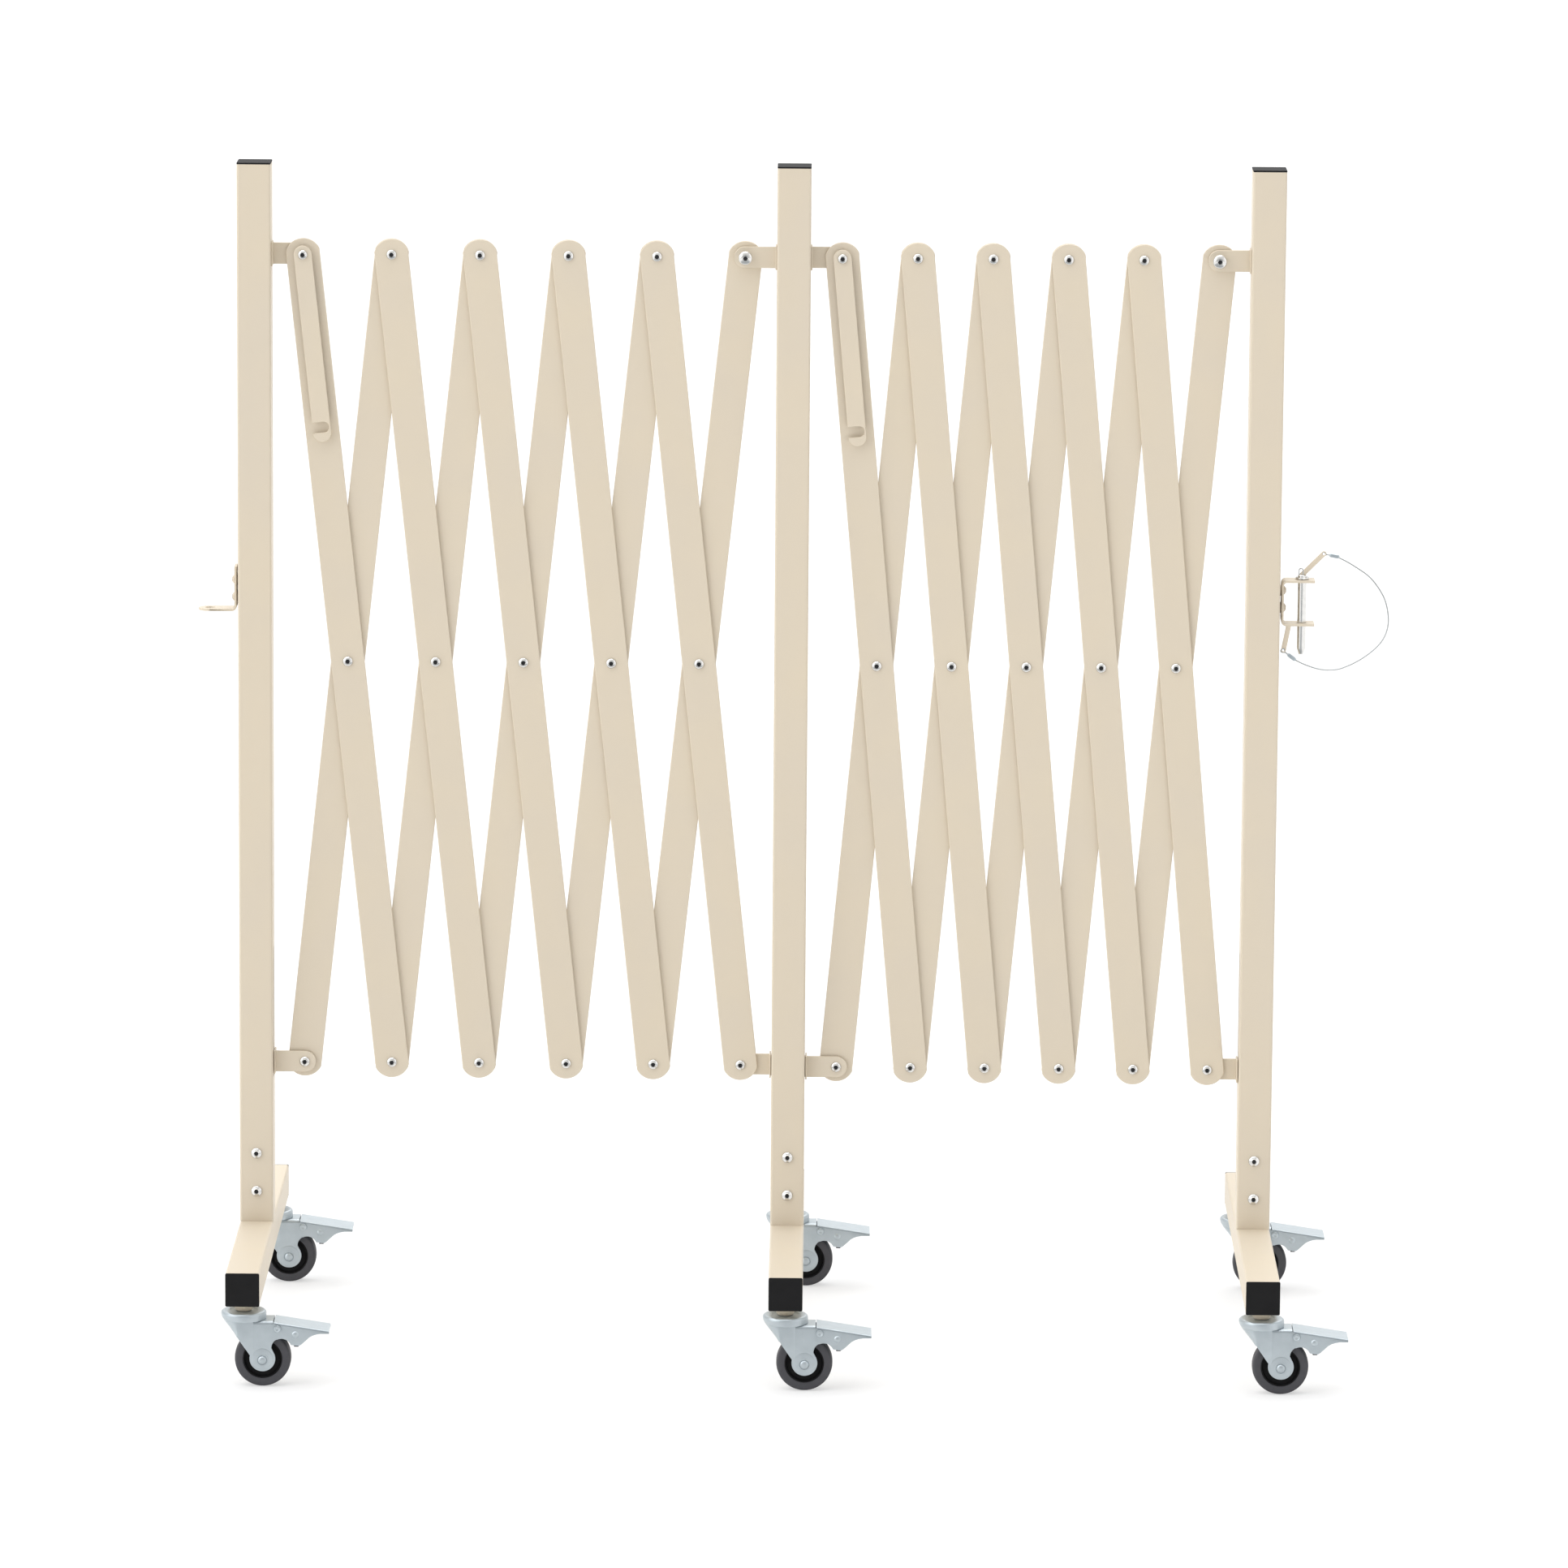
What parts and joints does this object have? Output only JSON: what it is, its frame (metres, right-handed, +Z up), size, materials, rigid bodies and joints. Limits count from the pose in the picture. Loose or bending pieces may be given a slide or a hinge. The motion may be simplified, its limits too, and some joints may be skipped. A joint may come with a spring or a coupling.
{
  "type": "expandable safety barrier",
  "caption": "Expandable safety barrier: cream posts on swivelling, braked casters joined by scissor lattices of flat bars, with folding hooks, an end tab, and a bracket with a tethered pin.",
  "frame": {"origin": "on the floor, under the centre of the barrier's box, as it stands half folded", "axes": "+X runs along the barrier from the tab end to the pin end, +Y points away from its front, +Z is up"},
  "size_m": [1.0618, 0.44, 1.063],
  "materials": {
    "powder_coat": "satin",
    "zinc_plate": "satin",
    "pin_steel": "polished",
    "black_plastic": "matte",
    "grey_rubber": "matte",
    "wire_rope": "satin"
  },
  "bodies": {
    "middle_stand": {"middle_post": "powder_coat", "middle_post_cap": "black_plastic", "middle_beam": "powder_coat", "middle_beam_cap": "black_plastic"},
    "left_stand": {"left_post": "powder_coat", "left_post_cap": "black_plastic", "left_beam": "powder_coat", "left_beam_cap": "black_plastic", "hitch_tab": "powder_coat"},
    "right_stand": {"right_post": "powder_coat", "right_post_cap": "black_plastic", "right_beam": "powder_coat", "right_beam_cap": "black_plastic", "hitch_bracket": "powder_coat", "pin_lanyard": "wire_rope"},
    "left_front_fork": {"left_front_fork": "zinc_plate"},
    "left_front_wheel": {"left_front_wheel": "grey_rubber"},
    "left_front_brake_pedal": {"left_front_brake_pedal": "zinc_plate"},
    "left_rear_fork": {"left_rear_fork": "zinc_plate"},
    "left_rear_wheel": {"left_rear_wheel": "grey_rubber"},
    "left_rear_brake_pedal": {"left_rear_brake_pedal": "zinc_plate"},
    "middle_front_fork": {"middle_front_fork": "zinc_plate"},
    "middle_front_wheel": {"middle_front_wheel": "grey_rubber"},
    "middle_front_brake_pedal": {"middle_front_brake_pedal": "zinc_plate"},
    "middle_rear_fork": {"middle_rear_fork": "zinc_plate"},
    "middle_rear_wheel": {"middle_rear_wheel": "grey_rubber"},
    "middle_rear_brake_pedal": {"middle_rear_brake_pedal": "zinc_plate"},
    "right_front_fork": {"right_front_fork": "zinc_plate"},
    "right_front_wheel": {"right_front_wheel": "grey_rubber"},
    "right_front_brake_pedal": {"right_front_brake_pedal": "zinc_plate"},
    "right_rear_fork": {"right_rear_fork": "zinc_plate"},
    "right_rear_wheel": {"right_rear_wheel": "grey_rubber"},
    "right_rear_brake_pedal": {"right_rear_brake_pedal": "zinc_plate"},
    "left_front_bar_1": {"left_front_bar_1": "powder_coat"},
    "left_back_bar_1": {"left_back_bar_1": "powder_coat"},
    "left_front_bar_2": {"left_front_bar_2": "powder_coat"},
    "left_back_bar_2": {"left_back_bar_2": "powder_coat"},
    "left_front_bar_3": {"left_front_bar_3": "powder_coat"},
    "left_back_bar_3": {"left_back_bar_3": "powder_coat"},
    "left_front_bar_4": {"left_front_bar_4": "powder_coat"},
    "left_back_bar_4": {"left_back_bar_4": "powder_coat"},
    "left_front_bar_5": {"left_front_bar_5": "powder_coat"},
    "left_back_bar_5": {"left_back_bar_5": "powder_coat"},
    "left_hook_strap": {"left_hook_strap": "powder_coat"},
    "left_lattice_first_slider": {"left_lattice_first_slider": "powder_coat"},
    "left_lattice_last_slider": {"left_lattice_last_slider": "powder_coat"},
    "right_front_bar_1": {"right_front_bar_1": "powder_coat"},
    "right_back_bar_1": {"right_back_bar_1": "powder_coat"},
    "right_front_bar_2": {"right_front_bar_2": "powder_coat"},
    "right_back_bar_2": {"right_back_bar_2": "powder_coat"},
    "right_front_bar_3": {"right_front_bar_3": "powder_coat"},
    "right_back_bar_3": {"right_back_bar_3": "powder_coat"},
    "right_front_bar_4": {"right_front_bar_4": "powder_coat"},
    "right_back_bar_4": {"right_back_bar_4": "powder_coat"},
    "right_front_bar_5": {"right_front_bar_5": "powder_coat"},
    "right_back_bar_5": {"right_back_bar_5": "powder_coat"},
    "right_hook_strap": {"right_hook_strap": "powder_coat"},
    "right_lattice_first_slider": {"right_lattice_first_slider": "powder_coat"},
    "right_lattice_last_slider": {"right_lattice_last_slider": "powder_coat"},
    "locking_pin": {"locking_pin": "pin_steel"}
  },
  "joints": [
    {"name": "left_lattice_opening", "type": "hinge", "parent": "middle_stand", "child": "left_back_bar_5", "pos_m": [-0.0265, 0, 0.981], "axis": [0, 1, 0], "range_deg": [-3.71, 23.88]},
    {"name": "left_middle_pivot_5", "type": "hinge", "parent": "left_back_bar_5", "child": "left_front_bar_5", "pos_m": [-0.0657, 0, 0.6156], "axis": [0, 1, 0], "range_deg": [-47.76, 7.42]},
    {"name": "left_top_pivot_4", "type": "hinge", "parent": "left_front_bar_5", "child": "left_back_bar_4", "pos_m": [-0.1049, 0, 0.981], "axis": [0, 1, 0], "range_deg": [-7.42, 47.76]},
    {"name": "left_middle_pivot_4", "type": "hinge", "parent": "left_back_bar_4", "child": "left_front_bar_4", "pos_m": [-0.1441, 0, 0.6156], "axis": [0, 1, 0], "range_deg": [-47.76, 7.42]},
    {"name": "left_top_pivot_3", "type": "hinge", "parent": "left_front_bar_4", "child": "left_back_bar_3", "pos_m": [-0.1833, 0, 0.981], "axis": [0, 1, 0], "range_deg": [-7.42, 47.76]},
    {"name": "left_middle_pivot_3", "type": "hinge", "parent": "left_back_bar_3", "child": "left_front_bar_3", "pos_m": [-0.2225, 0, 0.6156], "axis": [0, 1, 0], "range_deg": [-47.76, 7.42]},
    {"name": "left_top_pivot_2", "type": "hinge", "parent": "left_front_bar_3", "child": "left_back_bar_2", "pos_m": [-0.2617, 0, 0.981], "axis": [0, 1, 0], "range_deg": [-7.42, 47.76]},
    {"name": "left_middle_pivot_2", "type": "hinge", "parent": "left_back_bar_2", "child": "left_front_bar_2", "pos_m": [-0.3009, 0, 0.6156], "axis": [0, 1, 0], "range_deg": [-47.76, 7.42]},
    {"name": "left_top_pivot_1", "type": "hinge", "parent": "left_front_bar_2", "child": "left_back_bar_1", "pos_m": [-0.3401, 0, 0.981], "axis": [0, 1, 0], "range_deg": [-7.42, 47.76]},
    {"name": "left_middle_pivot_1", "type": "hinge", "parent": "left_back_bar_1", "child": "left_front_bar_1", "pos_m": [-0.3793, 0, 0.6156], "axis": [0, 1, 0], "range_deg": [-47.76, 7.42]},
    {"name": "left_end_pivot", "type": "hinge", "parent": "left_front_bar_1", "child": "left_stand", "pos_m": [-0.4185, 0, 0.981], "axis": [0, 1, 0], "range_deg": [-3.72, 23.89]},
    {"name": "left_first_slider_pivot", "type": "hinge", "parent": "left_back_bar_1", "child": "left_lattice_first_slider", "pos_m": [-0.4185, 0, 0.25019], "axis": [0, 1, 0], "range_deg": [-23.89, 3.72]},
    {"name": "left_last_slider_pivot", "type": "hinge", "parent": "left_front_bar_5", "child": "left_lattice_last_slider", "pos_m": [-0.0265, 0, 0.25019], "axis": [0, 1, 0], "range_deg": [-3.72, 23.89]},
    {"name": "left_hook_swing", "type": "hinge", "parent": "left_front_bar_1", "child": "left_hook_strap", "pos_m": [-0.4185, 0, 0.981], "axis": [0, -1, 0], "range_deg": [-6, 87.5]},
    {"name": "right_lattice_opening", "type": "hinge", "parent": "middle_stand", "child": "right_front_bar_1", "pos_m": [0.0595, 0, 0.981], "axis": [0, -1, 0], "range_deg": [-2.8, 24.79]},
    {"name": "right_middle_pivot_1", "type": "hinge", "parent": "right_front_bar_1", "child": "right_back_bar_1", "pos_m": [0.0929, 0, 0.61502], "axis": [0, -1, 0], "range_deg": [-49.58, 5.6]},
    {"name": "right_top_pivot_1", "type": "hinge", "parent": "right_back_bar_1", "child": "right_front_bar_2", "pos_m": [0.1263, 0, 0.981], "axis": [0, -1, 0], "range_deg": [-5.6, 49.58]},
    {"name": "right_middle_pivot_2", "type": "hinge", "parent": "right_front_bar_2", "child": "right_back_bar_2", "pos_m": [0.1597, 0, 0.61502], "axis": [0, -1, 0], "range_deg": [-49.58, 5.6]},
    {"name": "right_top_pivot_2", "type": "hinge", "parent": "right_back_bar_2", "child": "right_front_bar_3", "pos_m": [0.1931, 0, 0.981], "axis": [0, -1, 0], "range_deg": [-5.6, 49.58]},
    {"name": "right_middle_pivot_3", "type": "hinge", "parent": "right_front_bar_3", "child": "right_back_bar_3", "pos_m": [0.2265, 0, 0.61502], "axis": [0, -1, 0], "range_deg": [-49.58, 5.6]},
    {"name": "right_top_pivot_3", "type": "hinge", "parent": "right_back_bar_3", "child": "right_front_bar_4", "pos_m": [0.2599, 0, 0.981], "axis": [0, -1, 0], "range_deg": [-5.6, 49.58]},
    {"name": "right_middle_pivot_4", "type": "hinge", "parent": "right_front_bar_4", "child": "right_back_bar_4", "pos_m": [0.2933, 0, 0.61502], "axis": [0, -1, 0], "range_deg": [-49.58, 5.6]},
    {"name": "right_top_pivot_4", "type": "hinge", "parent": "right_back_bar_4", "child": "right_front_bar_5", "pos_m": [0.3267, 0, 0.981], "axis": [0, -1, 0], "range_deg": [-5.6, 49.58]},
    {"name": "right_middle_pivot_5", "type": "hinge", "parent": "right_front_bar_5", "child": "right_back_bar_5", "pos_m": [0.3601, 0, 0.61502], "axis": [0, -1, 0], "range_deg": [-49.58, 5.6]},
    {"name": "right_end_pivot", "type": "hinge", "parent": "right_back_bar_5", "child": "right_stand", "pos_m": [0.3935, 0, 0.981], "axis": [0, -1, 0], "range_deg": [-2.81, 24.8]},
    {"name": "right_first_slider_pivot", "type": "hinge", "parent": "right_back_bar_1", "child": "right_lattice_first_slider", "pos_m": [0.0595, 0, 0.24904], "axis": [0, -1, 0], "range_deg": [-2.81, 24.8]},
    {"name": "right_last_slider_pivot", "type": "hinge", "parent": "right_front_bar_5", "child": "right_lattice_last_slider", "pos_m": [0.3935, 0, 0.24904], "axis": [0, -1, 0], "range_deg": [-24.8, 2.81]},
    {"name": "right_hook_swing", "type": "hinge", "parent": "right_front_bar_1", "child": "right_hook_strap", "pos_m": [0.0595, 0, 0.981], "axis": [0, -1, 0], "range_deg": [-6, 87.5]},
    {"name": "left_front_swivel", "type": "hinge", "parent": "left_stand", "child": "left_front_fork", "pos_m": [-0.4615, -0.199, 0.0647], "axis": [0, 0, 1], "continuous": true},
    {"name": "left_front_wheel_spin", "type": "hinge", "parent": "left_front_fork", "child": "left_front_wheel", "pos_m": [-0.4445, -0.199, 0.025], "axis": [0, 1, 0], "continuous": true},
    {"name": "left_front_brake", "type": "hinge", "parent": "left_front_fork", "child": "left_front_brake_pedal", "pos_m": [-0.431, -0.199, 0.0538], "axis": [0, 1, 0], "range_deg": [0, 13]},
    {"name": "left_rear_swivel", "type": "hinge", "parent": "left_stand", "child": "left_rear_fork", "pos_m": [-0.4615, 0.199, 0.0647], "axis": [0, 0, 1], "continuous": true},
    {"name": "left_rear_wheel_spin", "type": "hinge", "parent": "left_rear_fork", "child": "left_rear_wheel", "pos_m": [-0.4445, 0.199, 0.025], "axis": [0, 1, 0], "continuous": true},
    {"name": "left_rear_brake", "type": "hinge", "parent": "left_rear_fork", "child": "left_rear_brake_pedal", "pos_m": [-0.431, 0.199, 0.0538], "axis": [0, 1, 0], "range_deg": [0, 13]},
    {"name": "middle_front_swivel", "type": "hinge", "parent": "middle_stand", "child": "middle_front_fork", "pos_m": [0.0165, -0.199, 0.0647], "axis": [0, 0, 1], "continuous": true},
    {"name": "middle_front_wheel_spin", "type": "hinge", "parent": "middle_front_fork", "child": "middle_front_wheel", "pos_m": [0.0335, -0.199, 0.025], "axis": [0, 1, 0], "continuous": true},
    {"name": "middle_front_brake", "type": "hinge", "parent": "middle_front_fork", "child": "middle_front_brake_pedal", "pos_m": [0.047, -0.199, 0.0538], "axis": [0, 1, 0], "range_deg": [0, 13]},
    {"name": "middle_rear_swivel", "type": "hinge", "parent": "middle_stand", "child": "middle_rear_fork", "pos_m": [0.0165, 0.199, 0.0647], "axis": [0, 0, 1], "continuous": true},
    {"name": "middle_rear_wheel_spin", "type": "hinge", "parent": "middle_rear_fork", "child": "middle_rear_wheel", "pos_m": [0.0335, 0.199, 0.025], "axis": [0, 1, 0], "continuous": true},
    {"name": "middle_rear_brake", "type": "hinge", "parent": "middle_rear_fork", "child": "middle_rear_brake_pedal", "pos_m": [0.047, 0.199, 0.0538], "axis": [0, 1, 0], "range_deg": [0, 13]},
    {"name": "right_front_swivel", "type": "hinge", "parent": "right_stand", "child": "right_front_fork", "pos_m": [0.4365, -0.199, 0.0647], "axis": [0, 0, 1], "continuous": true},
    {"name": "right_front_wheel_spin", "type": "hinge", "parent": "right_front_fork", "child": "right_front_wheel", "pos_m": [0.4535, -0.199, 0.025], "axis": [0, 1, 0], "continuous": true},
    {"name": "right_front_brake", "type": "hinge", "parent": "right_front_fork", "child": "right_front_brake_pedal", "pos_m": [0.467, -0.199, 0.0538], "axis": [0, 1, 0], "range_deg": [0, 13]},
    {"name": "right_rear_swivel", "type": "hinge", "parent": "right_stand", "child": "right_rear_fork", "pos_m": [0.4365, 0.199, 0.0647], "axis": [0, 0, 1], "continuous": true},
    {"name": "right_rear_wheel_spin", "type": "hinge", "parent": "right_rear_fork", "child": "right_rear_wheel", "pos_m": [0.4535, 0.199, 0.025], "axis": [0, 1, 0], "continuous": true},
    {"name": "right_rear_brake", "type": "hinge", "parent": "right_rear_fork", "child": "right_rear_brake_pedal", "pos_m": [0.467, 0.199, 0.0538], "axis": [0, 1, 0], "range_deg": [0, 13]},
    {"name": "locking_pin_lift", "type": "slide", "parent": "right_stand", "child": "locking_pin", "axis": [0, 0, 1], "range_m": [0, 0.07]}
  ],
  "couplings": [
    {"joint": "left_middle_pivot_5", "follows": "left_lattice_opening", "ratio": -2},
    {"joint": "left_top_pivot_4", "follows": "left_lattice_opening", "ratio": 2},
    {"joint": "left_middle_pivot_4", "follows": "left_lattice_opening", "ratio": -2},
    {"joint": "left_top_pivot_3", "follows": "left_lattice_opening", "ratio": 2},
    {"joint": "left_middle_pivot_3", "follows": "left_lattice_opening", "ratio": -2},
    {"joint": "left_top_pivot_2", "follows": "left_lattice_opening", "ratio": 2},
    {"joint": "left_middle_pivot_2", "follows": "left_lattice_opening", "ratio": -2},
    {"joint": "left_top_pivot_1", "follows": "left_lattice_opening", "ratio": 2},
    {"joint": "left_middle_pivot_1", "follows": "left_lattice_opening", "ratio": -2},
    {"joint": "left_end_pivot", "follows": "left_lattice_opening", "ratio": 1},
    {"joint": "left_first_slider_pivot", "follows": "left_lattice_opening", "ratio": -1},
    {"joint": "left_last_slider_pivot", "follows": "left_lattice_opening", "ratio": 1},
    {"joint": "right_middle_pivot_1", "follows": "right_lattice_opening", "ratio": -2},
    {"joint": "right_top_pivot_1", "follows": "right_lattice_opening", "ratio": 2},
    {"joint": "right_middle_pivot_2", "follows": "right_lattice_opening", "ratio": -2},
    {"joint": "right_top_pivot_2", "follows": "right_lattice_opening", "ratio": 2},
    {"joint": "right_middle_pivot_3", "follows": "right_lattice_opening", "ratio": -2},
    {"joint": "right_top_pivot_3", "follows": "right_lattice_opening", "ratio": 2},
    {"joint": "right_middle_pivot_4", "follows": "right_lattice_opening", "ratio": -2},
    {"joint": "right_top_pivot_4", "follows": "right_lattice_opening", "ratio": 2},
    {"joint": "right_middle_pivot_5", "follows": "right_lattice_opening", "ratio": -2},
    {"joint": "right_end_pivot", "follows": "right_lattice_opening", "ratio": 1},
    {"joint": "right_first_slider_pivot", "follows": "right_lattice_opening", "ratio": 1},
    {"joint": "right_last_slider_pivot", "follows": "right_lattice_opening", "ratio": -1}
  ]
}
